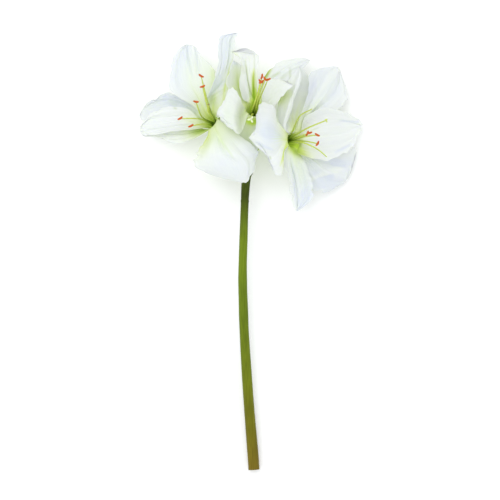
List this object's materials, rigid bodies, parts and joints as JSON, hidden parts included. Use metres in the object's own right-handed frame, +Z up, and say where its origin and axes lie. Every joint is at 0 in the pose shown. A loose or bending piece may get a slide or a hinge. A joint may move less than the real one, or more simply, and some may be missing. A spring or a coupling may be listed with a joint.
{
  "type": "amaryllis stem",
  "caption": "Cut amaryllis stem lying on its back: a thick green stalk carrying a head of wide, ruffled white trumpet blooms with green throats and long stamens.",
  "frame": {"origin": "middle of the bounding box seen from above, at the height of the surface that the stem lies on", "axes": "+Y along the stalk from the cut end to the blooms, +Z up, the way the blooms face, +X to the right seen from above"},
  "size_m": [0.3434, 0.6626, 0.128],
  "materials": {
    "stalk_green": "smooth fresh green stalk skin with fine lengthwise streaks",
    "petal_white": "soft white petal, green towards the throat",
    "stamen": "green filament with an orange-brown anther",
    "pistil": "green style with a pale three-lobed tip"
  },
  "bodies": {
    "root": {"stalk": "stalk_green", "left_petal_1": "petal_white", "left_petal_2": "petal_white", "left_petal_3": "petal_white", "left_petal_4": "petal_white", "left_petal_5": "petal_white", "left_petal_6": "petal_white", "left_stamens": "stamen", "left_pistil": "pistil", "middle_petal_1": "petal_white", "middle_petal_2": "petal_white", "middle_petal_3": "petal_white", "middle_petal_4": "petal_white", "middle_petal_5": "petal_white", "middle_petal_6": "petal_white", "middle_stamens": "stamen", "middle_pistil": "pistil", "right_petal_1": "petal_white", "right_petal_2": "petal_white", "right_petal_3": "petal_white", "right_petal_4": "petal_white", "right_petal_5": "petal_white", "right_petal_6": "petal_white", "right_stamens": "stamen", "right_pistil": "pistil"}
  },
  "joints": []
}
